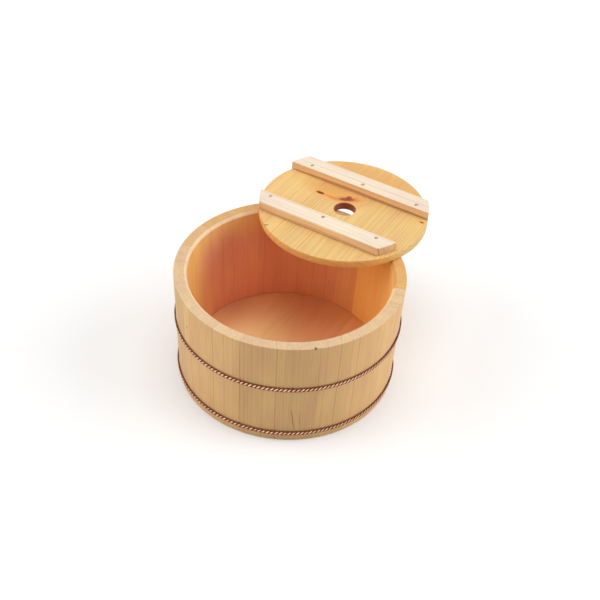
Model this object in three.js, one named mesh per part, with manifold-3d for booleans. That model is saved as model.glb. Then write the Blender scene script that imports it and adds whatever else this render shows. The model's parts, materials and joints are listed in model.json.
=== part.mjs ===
// Wooden ice tub: pegged staves bound by two twisted copper wire hoops round a planked bottom,
// with the loose drain board lying across the back of the rim, battens up.
// Millimetres, +Z up. The tub stands on z = 0, and +Y points from the tub's axis to the drain board.

import * as THREE from "three";
import { mergeVertices } from "three/addons/utils/BufferGeometryUtils.js";
import Module from "manifold-3d";

const wasm = await Module();
wasm.setup();

// Fits
const SEAM_GAP = 0.3; // between neighbouring staves or planks
const SEAT_GAP = 0.3; // between a piece and what it lies on or in
const PIN_CLEARANCE = 0.3; // round a peg or a nail in its hole

// Tub wall
const TUB_HEIGHT = 163;
const RIM_OUTER_RADIUS = 150;
const BASE_OUTER_RADIUS = 145;
const WALL = 17;
const OUTER_ARRIS = 1; // eased edges of the rim and the foot
const RIM_BEVEL = 3.5; // bevel inside the mouth
const FIRST_SEAM_DEG = 19.5;
// Widths of the staves along the rim, anticlockwise from the first seam.
// They are scaled so that they close the ring.
const STAVE_WIDTHS = [71, 73, 39, 41, 46, 47, 45, 45, 50, 68, 50, 52, 50, 58, 42, 42, 43, 40, 42];
const WALL_FACET_DEG = 6;

// Bamboo pegs, across every joint between two staves or two bottom boards
const PEG_LENGTH = 22;
const PEG_DIAMETER = 5;
const PEG_POINT = 3;
const PEG_SIDES = 6;
const PEG_HOLE_SIDES = 6;
const PEG_END_ROOM = 0.5;

// Bottom boards, held in the croze groove
const BOTTOM_RECESS = 5; // from the foot of the staves up to the boards
const BOTTOM_THICKNESS = 10;
const CROZE_DEPTH = 4;
const BOTTOM_SEAMS = [-46, 40]; // across the boards, from the tub's axis
const BOTTOM_PEG_SPACING = 130;
const DISC_FACETS = 60;

// Hoops of twisted wire
const WIRE_DIAMETER = 3;
const STRANDS = 3;
const LAY_LENGTH = 16.5; // one full turn of a strand
const HOOP_THICKNESS = 2.8; // the twist is hammered flat against the wall
const UPPER_HOOP_HEIGHT = 94;
const LOWER_HOOP_HEIGHT = 14;
const RINGS_PER_STRAND = 2;
const CORNERS_PER_STRAND = 2;

// Drain board
const BOARD_PLAY = 13; // round the board when it lies on the tub's floor
const BOARD_THICKNESS = 11;
const BOARD_ARRIS = 1;
const BOARD_SEAMS = [-52, 29]; // across the planks, from the board's centre
const BOARD_CENTRE_INSIDE_RIM = 7.5; // keeps the board's weight over the rim it lies on
const BOARD_ASIDE = -3; // from the tub's axis along the battens, as it was laid down
const FINGER_HOLE_DIAMETER = 30;
const FINGER_HOLE_PLACE = [2.3, -0.7]; // from the board's centre, cut by eye
const FINGER_HOLE_FACETS = 24;

// Battens across the drain board's planks
const BATTEN_WIDTH = 27;
const BATTEN_HEIGHT = 12;
const BATTEN_SPACING = 109;
const BATTEN_ARRIS = 0.8;
const FRONT_BATTEN_SHORT_END = 6; // the front batten stops this far inside the board's right edge

// Nails, each measured along its batten
const NAIL_SHANK_DIAMETER = 2.4;
const NAIL_HEAD_DIAMETER = 5;
const NAIL_HEAD_HEIGHT = 1.2;
const NAIL_HEAD_SUNK = 0.3;
const NAIL_POINT = 4;
const NAIL_BITE = 8; // depth of the point below the plank's face
const NAIL_SIDES = 8;
const NAIL_LINE_INSET = 6; // from the batten's centreline towards the finger hole
const FRONT_NAILS = { leftInset: 17, middle: -5, rightInset: 23.5 };
const BACK_NAILS = { leftInset: 25.5, middle: 2, rightInset: 19.5 };

// Sizes that follow from the ones above
const outerRadius = (z) => BASE_OUTER_RADIUS + ((RIM_OUTER_RADIUS - BASE_OUTER_RADIUS) * z) / TUB_HEIGHT;
const innerRadius = (z) => outerRadius(z) - WALL;
const bottomTop = BOTTOM_RECESS + BOTTOM_THICKNESS;
const crozeRadius = innerRadius(BOTTOM_RECESS) + CROZE_DEPTH;
const boardRadius = innerRadius(bottomTop) - BOARD_PLAY;
const boardOffset = RIM_OUTER_RADIUS - BOARD_CENTRE_INSIDE_RIM;
const strandRadius = WIRE_DIAMETER / 2;
const strandCircle = strandRadius / Math.sin(Math.PI / STRANDS);
const ropeRadius = strandCircle + strandRadius;
const hoopFlatness = HOOP_THICKNESS / (2 * ropeRadius);
const hoopReach = outerRadius(UPPER_HOOP_HEIGHT) + SEAT_GAP + HOOP_THICKNESS;
// The origin is below the middle of the footprint that tub and drain board share.
const tubAxisY = (Math.max(hoopReach, RIM_OUTER_RADIUS) - (boardOffset + boardRadius)) / 2;

// Finishes
function finish(color, roughness, metalness = 0) {
  return new THREE.MeshStandardMaterial({ color, roughness, metalness });
}
const staveWood = finish(0xdcb47e, 0.6);
const bottomWood = finish(0xd09a5c, 0.6);
const boardWood = finish(0xefc585, 0.55);
const battenWood = finish(0xf5e6cf, 0.6);
const bambooWood = finish(0xd9bf7f, 0.6);
const copperWire = finish(0xb0623c, 0.3, 1);
const nailSteel = finish(0x9a948a, 0.45, 1);

const part = new THREE.Group();
const tub = new THREE.Group();
tub.position.y = tubAxisY;
const drainBoard = new THREE.Group();
drainBoard.position.set(BOARD_ASIDE, tubAxisY + boardOffset, TUB_HEIGHT + SEAT_GAP);
part.add(tub, drainBoard);

function addPiece(group, name, geometry, material) {
  const mesh = new THREE.Mesh(geometry, material);
  mesh.name = name;
  group.add(mesh);
  return mesh;
}

// A closed geometry as a solid that can be cut.
function solidOf(geometry) {
  const bare = geometry.index ? geometry.toNonIndexed() : geometry.clone();
  bare.deleteAttribute("normal");
  bare.deleteAttribute("uv");
  const merged = mergeVertices(bare, 1e-4);
  return new wasm.Manifold(
    new wasm.Mesh({
      numProp: 3,
      vertProperties: merged.attributes.position.array,
      triVerts: new Uint32Array(merged.index.array),
    }),
  );
}

// A cut solid as geometry for a mesh.
function geometryOf(solid) {
  const mesh = solid.getMesh();
  const geometry = new THREE.BufferGeometry();
  geometry.setAttribute("position", new THREE.BufferAttribute(mesh.vertProperties, 3));
  geometry.setIndex(new THREE.BufferAttribute(mesh.triVerts, 1));
  geometry.computeVertexNormals();
  return geometry;
}

// A profile of [radius, height] points turned about the Y axis.
function turnedAboutY(profile, facets) {
  return new THREE.LatheGeometry(
    profile.map(([radius, height]) => new THREE.Vector2(radius, height)),
    facets,
  );
}

// The same, stood up so that it turns about the Z axis.
function turnedAboutZ(profile, facets) {
  return turnedAboutY(profile, facets).rotateX(Math.PI / 2);
}

function rodProfile(radius, low, high) {
  return [
    [0, low],
    [radius, low],
    [radius, high],
    [0, high],
  ];
}

// A disc with eased upper and lower edges, from z = 0 up.
function easedDisc(radius, thickness, arris, facets) {
  return turnedAboutZ(
    [
      [0, 0],
      [radius - arris, 0],
      [radius, arris],
      [radius, thickness - arris],
      [radius - arris, thickness],
      [0, thickness],
    ],
    facets,
  );
}

// Cuts a disc into planks at the seams, which run along Y, with a gap at every seam.
function planksOf(disc, radius, thickness, seams) {
  const beyond = 2 * radius;
  const lowEdges = [-beyond, ...seams];
  const highEdges = [...seams, beyond];
  return lowEdges.map((lowEdge, i) => {
    const low = lowEdge + SEAM_GAP / 2;
    const high = highEdges[i] - SEAM_GAP / 2;
    const slab = new THREE.BoxGeometry(high - low, 2 * beyond, 2 * (thickness + beyond));
    slab.translate((low + high) / 2, 0, 0);
    return disc.intersect(solidOf(slab));
  });
}

// Bamboo pegs

// A whittled peg along Y, pointed at both ends.
function pegGeometry() {
  const half = PEG_LENGTH / 2;
  const radius = PEG_DIAMETER / 2;
  const tip = radius / 2;
  return turnedAboutY(
    [
      [0, -half],
      [tip, -half],
      [radius, PEG_POINT - half],
      [radius, half - PEG_POINT],
      [tip, half],
      [0, half],
    ],
    PEG_SIDES,
  );
}

// The hole that a peg sits in, through both pieces that it joins. Its flats clear the peg.
function pegHoleGeometry() {
  const reach = PEG_LENGTH / 2 + PEG_END_ROOM;
  const flatRadius = PEG_DIAMETER / 2 + PIN_CLEARANCE;
  const radius = flatRadius / Math.cos(Math.PI / PEG_HOLE_SIDES);
  return turnedAboutY(rodProfile(radius, -reach, reach), PEG_HOLE_SIDES);
}

// Staves

const stavePegHeight = (UPPER_HOOP_HEIGHT + LOWER_HOOP_HEIGHT) / 2;
const stavePegRadius = outerRadius(stavePegHeight) - WALL / 2;

// A level arc about the tub's axis, centred on +X: the path that a stave's section follows.
class LevelArc extends THREE.Curve {
  constructor(radius, halfAngle) {
    super();
    this.radius = radius;
    this.halfAngle = halfAngle;
  }
  getPoint(t, target = new THREE.Vector3()) {
    const angle = this.halfAngle * (2 * t - 1);
    return target.set(this.radius * Math.cos(angle), this.radius * Math.sin(angle), 0);
  }
  getTangent(t, target = new THREE.Vector3()) {
    const angle = this.halfAngle * (2 * t - 1);
    return target.set(-Math.sin(angle), Math.cos(angle), 0);
  }
}

// A stave's upright section as [radius, height] points, with the croze groove that holds the bottom.
function staveSection() {
  const crozeLow = BOTTOM_RECESS - SEAT_GAP;
  const crozeHigh = bottomTop + SEAT_GAP;
  const crozeWall = crozeRadius + SEAT_GAP;
  return [
    [innerRadius(0) + OUTER_ARRIS, 0],
    [outerRadius(0) - OUTER_ARRIS, 0],
    [outerRadius(OUTER_ARRIS), OUTER_ARRIS],
    [outerRadius(TUB_HEIGHT - OUTER_ARRIS), TUB_HEIGHT - OUTER_ARRIS],
    [outerRadius(TUB_HEIGHT) - OUTER_ARRIS, TUB_HEIGHT],
    [innerRadius(TUB_HEIGHT) + RIM_BEVEL, TUB_HEIGHT],
    [innerRadius(TUB_HEIGHT - RIM_BEVEL), TUB_HEIGHT - RIM_BEVEL],
    [innerRadius(crozeHigh), crozeHigh],
    [crozeWall, crozeHigh],
    [crozeWall, crozeLow],
    [innerRadius(crozeLow), crozeLow],
    [innerRadius(OUTER_ARRIS), OUTER_ARRIS],
  ];
}

// A stave centred on +X: its section swept round the tub's axis, with a peg hole in each edge.
function staveGeometry(angle) {
  const halfAngle = (angle - SEAM_GAP / RIM_OUTER_RADIUS) / 2;
  // The path's own frame points down and inwards, so the section is drawn turned about to match.
  const section = new THREE.Shape(
    staveSection().map(([radius, height]) => new THREE.Vector2(-height, RIM_OUTER_RADIUS - radius)),
  );
  const sweep = new THREE.ExtrudeGeometry(section, {
    steps: Math.max(2, Math.round(THREE.MathUtils.radToDeg(angle) / WALL_FACET_DEG)),
    extrudePath: new LevelArc(RIM_OUTER_RADIUS, halfAngle),
  });
  let stave = solidOf(sweep);
  for (const seam of [-angle / 2, angle / 2]) {
    const hole = pegHoleGeometry();
    hole.translate(stavePegRadius, 0, stavePegHeight);
    hole.rotateZ(seam);
    stave = stave.subtract(solidOf(hole));
  }
  return geometryOf(stave);
}

const ringWidth = STAVE_WIDTHS.reduce((sum, width) => sum + width, 0);
let seamAngle = THREE.MathUtils.degToRad(FIRST_SEAM_DEG);
STAVE_WIDTHS.forEach((width, i) => {
  const number = String(i + 1).padStart(2, "0");
  const angle = (2 * Math.PI * width) / ringWidth;
  const stave = addPiece(tub, `stave_${number}`, staveGeometry(angle), staveWood);
  stave.rotation.z = seamAngle + angle / 2;
  const peg = addPiece(tub, `stave_peg_${number}`, pegGeometry(), bambooWood);
  peg.rotation.z = seamAngle;
  peg.position.set(Math.cos(seamAngle), Math.sin(seamAngle), 0).multiplyScalar(stavePegRadius);
  peg.position.z = stavePegHeight;
  seamAngle += angle;
});

// Bottom boards

const bottom = new THREE.Group();
bottom.position.z = BOTTOM_RECESS;
tub.add(bottom);

const bottomPegs = BOTTOM_SEAMS.flatMap((x) =>
  [-1, 1].map((side) => new THREE.Vector3(x, (side * BOTTOM_PEG_SPACING) / 2, BOTTOM_THICKNESS / 2)),
);

function bottomPlanks() {
  const disc = solidOf(turnedAboutZ(rodProfile(crozeRadius, 0, BOTTOM_THICKNESS), DISC_FACETS));
  return planksOf(disc, crozeRadius, BOTTOM_THICKNESS, BOTTOM_SEAMS).map((plank) =>
    bottomPegs.reduce((cut, place) => {
      const hole = pegHoleGeometry().rotateZ(Math.PI / 2);
      hole.translate(place.x, place.y, place.z);
      return cut.subtract(solidOf(hole));
    }, plank),
  );
}

bottomPlanks().forEach((plank, i) => {
  const side = ["left", "middle", "right"][i];
  addPiece(bottom, `bottom_board_${side}`, geometryOf(plank), bottomWood);
});
bottomPegs.forEach((place, i) => {
  const peg = addPiece(bottom, `bottom_peg_${i + 1}`, pegGeometry(), bambooWood);
  peg.rotation.z = Math.PI / 2;
  peg.position.copy(place);
});

// Hoops

// One endless wire laid up on itself: a ring whose lobed section turns about once every lay length,
// and over the whole ring by one strand more, so that each strand runs on into the next.
// Even corners of the section are the strands' crowns, odd ones the hollows between strands.
// The twist is then flattened to the hoop's thickness.
function twistedHoop(height) {
  const ringRadius = outerRadius(height) + SEAT_GAP + HOOP_THICKNESS / 2;
  const turns = Math.round((2 * Math.PI * ringRadius) / LAY_LENGTH) + 1 / STRANDS;
  const rings = Math.round(turns * STRANDS) * RINGS_PER_STRAND;
  const corners = CORNERS_PER_STRAND * STRANDS;
  const hollowRadius = strandCircle * Math.cos(Math.PI / STRANDS) + strandRadius / 2;
  const pointAt = (ring, corner) => {
    const closing = ring === rings;
    const strandShift = closing ? corners - CORNERS_PER_STRAND : 0;
    return (closing ? 0 : ring * corners) + ((corner + strandShift) % corners);
  };
  const points = [];
  const triangles = [];
  for (let ring = 0; ring < rings; ring++) {
    const around = (2 * Math.PI * ring) / rings;
    for (let corner = 0; corner < corners; corner++) {
      const lay = (2 * Math.PI * corner) / corners - around * turns;
      const reach = corner % 2 === 0 ? ropeRadius : hollowRadius;
      const radius = ringRadius + hoopFlatness * reach * Math.sin(lay);
      points.push(radius * Math.cos(around), radius * Math.sin(around), height + reach * Math.cos(lay));
      const near = [pointAt(ring, corner), pointAt(ring, corner + 1)];
      const far = [pointAt(ring + 1, corner), pointAt(ring + 1, corner + 1)];
      triangles.push(near[0], near[1], far[1], near[0], far[1], far[0]);
    }
  }
  const geometry = new THREE.BufferGeometry();
  geometry.setAttribute("position", new THREE.Float32BufferAttribute(points, 3));
  geometry.setIndex(triangles);
  geometry.computeVertexNormals();
  return geometry;
}

addPiece(tub, "upper_hoop", twistedHoop(UPPER_HOOP_HEIGHT), copperWire);
addPiece(tub, "lower_hoop", twistedHoop(LOWER_HOOP_HEIGHT), copperWire);

// Drain board

const battenBase = BOARD_THICKNESS + SEAT_GAP;
const battenTop = battenBase + BATTEN_HEIGHT;
const nailSeat = battenTop - NAIL_HEAD_SUNK - NAIL_HEAD_HEIGHT; // under the head
const nailTip = BOARD_THICKNESS - NAIL_BITE;

// The two battens: the side of the finger hole they lie on, how short their right end is, their nails.
const battens = [
  { name: "front", side: -1, shortEnd: FRONT_BATTEN_SHORT_END, nails: FRONT_NAILS },
  { name: "back", side: 1, shortEnd: 0, nails: BACK_NAILS },
];

// Where a batten's three nails stand, from the left end to the right.
function nailPlaces({ side, shortEnd, nails }) {
  const y = side * (BATTEN_SPACING / 2 - NAIL_LINE_INSET);
  const halfChord = Math.sqrt(boardRadius ** 2 - y ** 2);
  return [nails.leftInset - halfChord, nails.middle, halfChord - shortEnd - nails.rightInset].map(
    (x) => new THREE.Vector3(x, y, 0),
  );
}

// A round wire nail along Z, point down, at its height in the board.
function nailGeometry() {
  const shank = NAIL_SHANK_DIAMETER / 2;
  const head = NAIL_HEAD_DIAMETER / 2;
  return turnedAboutZ(
    [
      [0, nailTip],
      [shank, nailTip + NAIL_POINT],
      [shank, nailSeat],
      [head, nailSeat],
      [head, nailSeat + NAIL_HEAD_HEIGHT / 2],
      [head / 2, nailSeat + NAIL_HEAD_HEIGHT],
      [0, nailSeat + NAIL_HEAD_HEIGHT],
    ],
    NAIL_SIDES,
  );
}

// The nail's hole, with a sunk seat for its head that is open at the batten's face.
function nailHoleGeometry() {
  const widen = 1 / Math.cos(Math.PI / NAIL_SIDES);
  const shank = (NAIL_SHANK_DIAMETER / 2 + PIN_CLEARANCE) * widen;
  const head = (NAIL_HEAD_DIAMETER / 2 + PIN_CLEARANCE) * widen;
  return turnedAboutZ(
    [
      [0, nailTip - PIN_CLEARANCE],
      [shank, nailTip - PIN_CLEARANCE],
      [shank, nailSeat - PIN_CLEARANCE],
      [head, nailSeat - PIN_CLEARANCE],
      [head, battenTop + BATTEN_HEIGHT],
      [0, battenTop + BATTEN_HEIGHT],
    ],
    NAIL_SIDES,
  );
}

function drilledForNails(solid, places) {
  return places.reduce((cut, place) => {
    const hole = nailHoleGeometry().translate(place.x, place.y, 0);
    return cut.subtract(solidOf(hole));
  }, solid);
}

function boardPlanks(places) {
  const disc = solidOf(easedDisc(boardRadius, BOARD_THICKNESS, BOARD_ARRIS, DISC_FACETS));
  const hole = turnedAboutZ(
    rodProfile(FINGER_HOLE_DIAMETER / 2, -BOARD_THICKNESS, 2 * BOARD_THICKNESS),
    FINGER_HOLE_FACETS,
  ).translate(...FINGER_HOLE_PLACE, 0);
  const drilled = drilledForNails(disc.subtract(solidOf(hole)), places);
  return planksOf(drilled, boardRadius, BOARD_THICKNESS, BOARD_SEAMS);
}

// A batten along X with eased long edges, its ends cut round to the board's edge.
function battenGeometry({ side, shortEnd }, places) {
  const half = BATTEN_WIDTH / 2;
  const section = new THREE.Shape([
    new THREE.Vector2(-half, 0),
    new THREE.Vector2(half, 0),
    new THREE.Vector2(half, BATTEN_HEIGHT - BATTEN_ARRIS),
    new THREE.Vector2(half - BATTEN_ARRIS, BATTEN_HEIGHT),
    new THREE.Vector2(BATTEN_ARRIS - half, BATTEN_HEIGHT),
    new THREE.Vector2(-half, BATTEN_HEIGHT - BATTEN_ARRIS),
  ]);
  const strip = new THREE.ExtrudeGeometry(section, { depth: 4 * boardRadius, bevelEnabled: false });
  strip.translate(0, 0, -2 * boardRadius);
  const across = new THREE.Vector3(0, 1, 0);
  const up = new THREE.Vector3(0, 0, 1);
  const along = new THREE.Vector3(1, 0, 0);
  strip.applyMatrix4(new THREE.Matrix4().makeBasis(across, up, along));
  strip.translate(0, (side * BATTEN_SPACING) / 2, battenBase);
  const trim = () => turnedAboutZ(rodProfile(boardRadius, 0, battenTop + BATTEN_HEIGHT), DISC_FACETS);
  const round = solidOf(strip).intersect(solidOf(trim()));
  const batten = round.intersect(solidOf(trim().translate(-shortEnd, 0, 0)));
  return geometryOf(drilledForNails(batten, places));
}

const allNails = battens.flatMap((batten) => nailPlaces(batten));
boardPlanks(allNails).forEach((plank, i) => {
  const side = ["left", "middle", "right"][i];
  addPiece(drainBoard, `drain_plank_${side}`, geometryOf(plank), boardWood);
});
for (const batten of battens) {
  const places = nailPlaces(batten);
  addPiece(drainBoard, `batten_${batten.name}`, battenGeometry(batten, places), battenWood);
  places.forEach((place, i) => {
    const spot = ["left", "middle", "right"][i];
    const nail = addPiece(drainBoard, `nail_${batten.name}_${spot}`, nailGeometry(), nailSteel);
    nail.position.copy(place);
  });
}

export default part;
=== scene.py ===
# %% [markdown]
# # A wooden ice tub
# A coopered tub is a ring of upright boards, the staves, pulled tight by two hoops of twisted copper wire.
# A loose drain board with two nailed battens lies across its rim. The frame loaded here has every piece at
# its size and place. Each piece that shows is drawn again over it with finer edges and a finish, and moves
# with the body that it belongs to.

# %% Load the frame
import json
import math

import bpy
import numpy as np
from mathutils import Matrix, Vector

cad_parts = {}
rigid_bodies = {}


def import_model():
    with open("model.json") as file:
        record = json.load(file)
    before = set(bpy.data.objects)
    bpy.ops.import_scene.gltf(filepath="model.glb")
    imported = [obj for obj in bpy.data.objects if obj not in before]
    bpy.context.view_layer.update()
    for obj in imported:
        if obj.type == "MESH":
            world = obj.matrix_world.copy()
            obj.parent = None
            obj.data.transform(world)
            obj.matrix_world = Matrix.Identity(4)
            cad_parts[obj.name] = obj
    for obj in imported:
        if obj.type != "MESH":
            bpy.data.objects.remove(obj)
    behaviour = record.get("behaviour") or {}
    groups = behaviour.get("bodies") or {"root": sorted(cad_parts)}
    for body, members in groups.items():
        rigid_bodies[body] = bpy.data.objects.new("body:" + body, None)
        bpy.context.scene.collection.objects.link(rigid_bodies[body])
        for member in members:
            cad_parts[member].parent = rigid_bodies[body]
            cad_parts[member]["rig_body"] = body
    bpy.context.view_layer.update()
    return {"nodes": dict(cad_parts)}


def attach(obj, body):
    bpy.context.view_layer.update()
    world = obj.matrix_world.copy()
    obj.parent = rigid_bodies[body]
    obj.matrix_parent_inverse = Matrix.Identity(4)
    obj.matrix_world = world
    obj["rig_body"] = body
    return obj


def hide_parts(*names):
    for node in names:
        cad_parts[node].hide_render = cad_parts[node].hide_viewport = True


MM = 0.001

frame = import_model()
nodes = frame["nodes"]

# %% [markdown]
# ## Where things are
# Pieces could be placed by eye, but then they would stay behind when the frame changes. So the tub's axis
# is the middle of its bottom boards, the drain board's centre is the middle of its planks, and both are
# read from the frame, like the heights and radii further down.

# %% Measure the frame
PLANK_SIDES = ("left", "middle", "right")
BOTTOM_BOARDS = [f"bottom_board_{side}" for side in PLANK_SIDES]
DRAIN_PLANKS = [f"drain_plank_{side}" for side in PLANK_SIDES]
STAVES = sorted(name for name in nodes if name.startswith("stave_") and "peg" not in name)


def rows_of(items, field):
    """A vector that a mesh keeps for each of its points or faces, as rows of x, y, z."""
    flat = np.empty(3 * len(items), dtype=np.float32)
    items.foreach_get(field, flat)
    return flat.reshape(-1, 3).astype(float)


def corners_of(node):
    """The corners of one of the frame's solids."""
    return rows_of(nodes[node].data.vertices, "co")


def box_of(*names):
    """The lowest and highest corner of the box round one or more of the frame's solids."""
    corners = np.concatenate([corners_of(name) for name in names])
    return corners.min(axis=0), corners.max(axis=0)


floor_low, floor_high = box_of(*BOTTOM_BOARDS)
board_low, board_high = box_of(*DRAIN_PLANKS)
tub_axis = (floor_low + floor_high)[:2] / 2
board_centre = (board_low + board_high)[:2] / 2
floor_radius = (floor_high - floor_low)[1] / 2
board_radius = (board_high - board_low)[1] / 2
tub_height = box_of(*STAVES)[1][2]
print("tub axis", tub_axis.round(4), "and height", round(tub_height, 4))
print("drain board centre", board_centre.round(4), "and radius", round(board_radius, 4))

# %% [markdown]
# ## Camera
# The camera stands where the photograph was taken from: turned round the tub, looking down, and rolled a
# little. It could simply look at the tub's middle. Here it aims a few millimetres beside it, so that the
# tub and its board fill the picture the same way. The lens is long, so nothing is stretched.

# %% Stand the camera
VIEW_AZIMUTH = math.radians(29.5)
VIEW_ELEVATION = math.radians(41.73)
VIEW_ROLL = math.radians(3.21)
VIEW_DISTANCE = 1.5
VIEW_LENS_MM = 67.34
AIM_HEIGHT = 75 * MM
AIM_RIGHT = 14.9 * MM
AIM_UP = 28.8 * MM


def stand_camera():
    """Puts the camera on a ray from a point on the tub's axis, aims it beside that point and rolls it."""
    level = math.cos(VIEW_ELEVATION)
    ray = Vector((math.sin(VIEW_AZIMUTH) * level, -math.cos(VIEW_AZIMUTH) * level, math.sin(VIEW_ELEVATION)))
    right = Vector((math.cos(VIEW_AZIMUTH), math.sin(VIEW_AZIMUTH), 0))
    target = Vector((*tub_axis, AIM_HEIGHT))
    eye = target + VIEW_DISTANCE * ray
    aim = target + AIM_RIGHT * right + AIM_UP * ray.cross(right)
    back = (eye - aim).normalized()
    right = (right - right.dot(back) * back).normalized()
    up = back.cross(right)
    rolled_right = math.cos(VIEW_ROLL) * right + math.sin(VIEW_ROLL) * up
    turn = Matrix((rolled_right, back.cross(rolled_right), back)).transposed()
    lens = bpy.data.cameras.new("photo camera")
    lens.lens = VIEW_LENS_MM
    camera = bpy.data.objects.new("photo camera", lens)
    camera.matrix_world = Matrix.Translation(eye) @ turn.to_4x4()
    bpy.context.scene.collection.objects.link(camera)
    bpy.context.scene.camera = camera
    return eye


print("camera at", stand_camera().to_tuple(3))

# %% [markdown]
# ## Drawing nodes
# Every finish is a graph of shader nodes. Such a graph can be drawn by hand in the shader editor. Written
# as code it is mostly adding a node and joining its sockets, so this small class gives short words for the
# few nodes that come back all the time.

# %% Words for nodes
class Graph:
    """A node tree. A node's input may be a number, a colour or another node's socket."""

    def __init__(self, tree):
        self.tree = tree

    def put(self, socket, value):
        """Links another node's socket to this one, or gives it a number or a colour."""
        if isinstance(value, bpy.types.NodeSocket):
            self.tree.links.new(value, socket)
        else:
            socket.default_value = value

    def node(self, kind, inputs=(), **settings):
        """Adds a node, with its settings and with its inputs by name or number."""
        node = self.tree.nodes.new(kind)
        for name, value in settings.items():
            setattr(node, name, value)
        for key, value in dict(inputs).items():
            self.put(node.inputs[key], value)
        return node

    def group(self, tree, inputs):
        """A node group placed in this graph with its own inputs. Returns its outputs."""
        node = self.node("ShaderNodeGroup", node_tree=tree)
        for name, value in inputs.items():
            self.put(node.inputs[name], value)
        return node.outputs

    def math(self, operation, *values):
        """One sum of one to three values. MULTIPLY_ADD is the first times the second, plus the third."""
        return self.node("ShaderNodeMath", dict(enumerate(values)), operation=operation).outputs[0]

    def length(self, vector):
        """The length of a vector."""
        return self.node("ShaderNodeVectorMath", {0: vector}, operation="LENGTH").outputs["Value"]

    def stretch(self, vector, factors):
        """The vector with each of its axes multiplied by its own factor."""
        return self.node("ShaderNodeVectorMath", {0: vector, 1: factors}, operation="MULTIPLY").outputs[0]

    def step(self, value, low, high):
        """Goes smoothly from 0 where the value is low to 1 where it is high."""
        limits = {"Value": value, "From Min": low, "From Max": high}
        return self.node("ShaderNodeMapRange", limits, interpolation_type="SMOOTHSTEP").outputs["Result"]

    def noise(self, vector, scale, detail=2.0):
        """Soft noise about 0.5, with as many swells in each metre as the scale says."""
        inputs = {"Vector": vector, "Scale": scale, "Detail": detail}
        return self.node("ShaderNodeTexNoise", inputs).outputs["Fac"]

    def blend(self, share, first, second):
        """The first colour, turning into the second as the share goes from 0 to 1."""
        return self.node("ShaderNodeMix", {0: share, 6: first, 7: second}, data_type="RGBA").outputs[2]

    def stain(self, colour, mask, share, stain):
        """A colour with a share of a stain over it where the mask is 1."""
        return self.blend(self.math("MULTIPLY", mask, share), colour, stain)

    def mask(self, name):
        """A number that a mesh keeps for each of its points or faces."""
        return self.node("ShaderNodeAttribute", attribute_name=name).outputs["Fac"]

    def vector(self, name):
        """A vector that a mesh keeps for each of its points."""
        return self.node("ShaderNodeAttribute", attribute_name=name).outputs["Vector"]

    def place(self):
        """Where on the object a point is, in metres."""
        return self.node("ShaderNodeTexCoord").outputs["Object"]

    def surface(self, inputs):
        """Ends a material in a principled shader with these inputs."""
        shader = self.node("ShaderNodeBsdfPrincipled", inputs)
        self.node("ShaderNodeOutputMaterial", {"Surface": shader.outputs[0]})


print("words for nodes:", [word for word in vars(Graph) if not word.startswith("_")])

# %% [markdown]
# ## Colours and materials
# A screen shows colours on a curve, and a shader reckons in amounts of light. Blender's colour picker
# turns one into the other by itself, but a script gives the shader its numbers directly. So one function
# turns them here, and every colour further down is written as it looks on a screen.

# %% Colours and materials
def shown(red, green, blue):
    """A colour as a screen shows it, from 0 to 255, in the linear values that shaders take. The screen's
    usual curve is a straight line near black, and a power of 2.4 above it."""
    share = np.array([red, green, blue]) / 255
    linear = np.where(share <= 0.04045, share / 12.92, ((share + 0.055) / 1.055) ** 2.4)
    return (*linear.tolist(), 1.0)


def new_material(name):
    """An empty material, and the graph to fill it."""
    material = bpy.data.materials.new(name)
    material.use_nodes = True
    material.node_tree.nodes.clear()
    return material, Graph(material.node_tree)


print("half grey on a screen is", round(shown(128, 128, 128)[0], 2), "of the light of white")

# %% [markdown]
# ## Light from all round
# A catalogue picture has a white ground and soft light from every side. Large lamps close by could give
# that, but they light the ground unevenly. So the world gives the fill. Camera and mirror rays see it as
# plain white, and the rays that carry light see it much weaker.

# %% Light the world
FILL_STRENGTH = 0.32
WHITE = (1, 1, 1, 1)


def seen_directly(graph):
    """1 for camera, mirror and see-through rays, 0 for the rays that carry light to the object."""
    path = graph.node("ShaderNodeLightPath").outputs
    mirror = graph.math("MAXIMUM", path["Is Glossy Ray"], path["Is Transmission Ray"])
    return graph.math("MAXIMUM", path["Is Camera Ray"], mirror)


def light_world():
    """A white sky at full strength where it is seen, and at the fill's strength where it lights."""
    world = bpy.data.worlds.new("studio")
    world.use_nodes = True
    world.node_tree.nodes.clear()
    graph = Graph(world.node_tree)
    strength = graph.math("MULTIPLY_ADD", seen_directly(graph), 1 - FILL_STRENGTH, FILL_STRENGTH)
    sky = graph.node("ShaderNodeBackground", {"Color": WHITE, "Strength": strength})
    graph.node("ShaderNodeOutputWorld", {"Surface": sky.outputs[0]})
    bpy.context.scene.world = world


bpy.context.scene.view_settings.view_transform = "Standard"
light_world()
print("the world lights at", FILL_STRENGTH, "of white")

# %% [markdown]
# ## Floor
# Nothing shows on the ground but the tub's own soft shadow. A floor that shines by itself would be white
# too, but it would drown the shadow and light the tub from below. So the floor is matt and takes the
# shadow, and a little glow that only camera and mirror rays see lifts the rest to white.

# %% Lay the floor
FLOOR_HALF = 12.0
FLOOR_COLOUR = (0.8, 0.8, 0.8, 1)
FLOOR_LIFT = 0.18


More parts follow.
